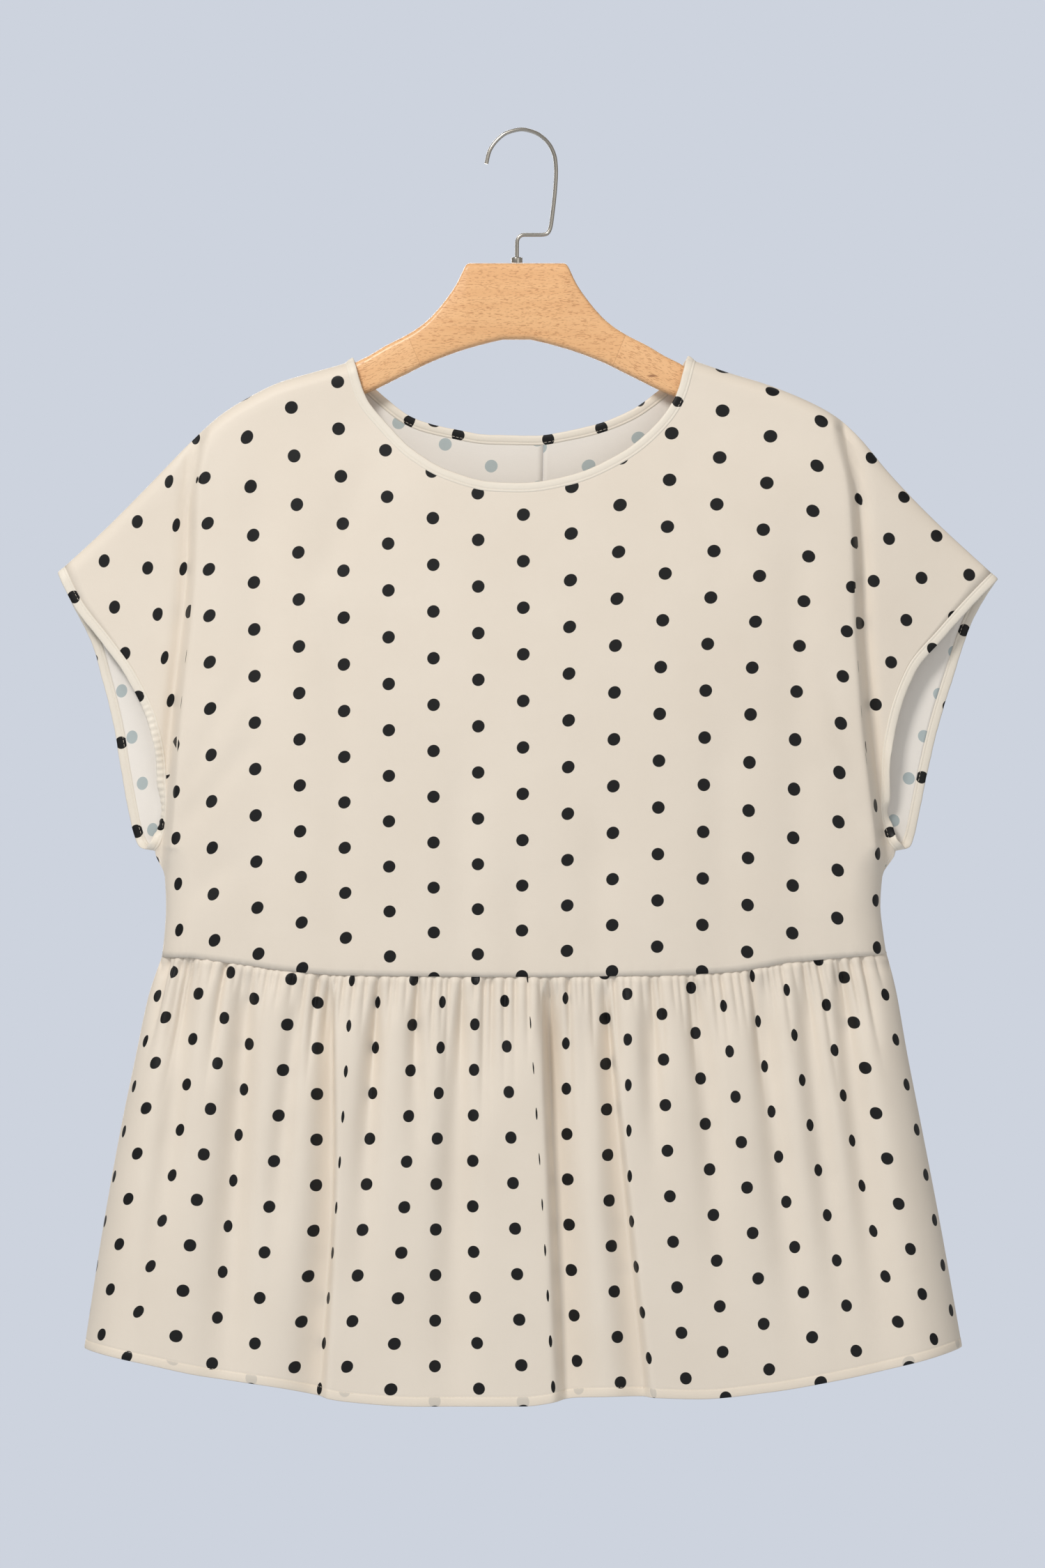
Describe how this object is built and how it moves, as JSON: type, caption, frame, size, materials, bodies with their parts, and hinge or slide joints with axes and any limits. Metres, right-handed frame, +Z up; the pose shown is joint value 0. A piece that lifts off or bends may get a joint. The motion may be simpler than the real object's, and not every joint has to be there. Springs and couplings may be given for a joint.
{
  "type": "babydoll blouse on wooden hanger",
  "caption": "Cap-sleeved babydoll blouse with a bound scoop neck, bound armholes and a gathered peplum, hanging on a plain wooden hanger.",
  "frame": {"origin": "inside the crown of the hanger's hook, where the wire rests on a rail or a nail", "axes": "+Z up, +X to the viewer's right, and the blouse's front faces -Y"},
  "size_m": [0.6762, 0.0782, 0.9137],
  "materials": {
    "satin": "soft satin sheen, with black round dots 9 mm across in a half-drop lattice of 32 by 33 mm",
    "binding": "soft satin sheen, plain",
    "beech": "clear satin lacquer",
    "steel": "drawn wire"
  },
  "bodies": {
    "root": {"bodice_front": "satin", "bodice_back_left": "satin", "bodice_back_right": "satin", "neck_binding": "binding", "armhole_binding_left": "binding", "armhole_binding_right": "binding", "peplum_front": "satin", "peplum_back": "satin", "hanger_arms": "beech", "hanger_ferrule": "steel", "hanger_hook": "steel"}
  },
  "joints": []
}
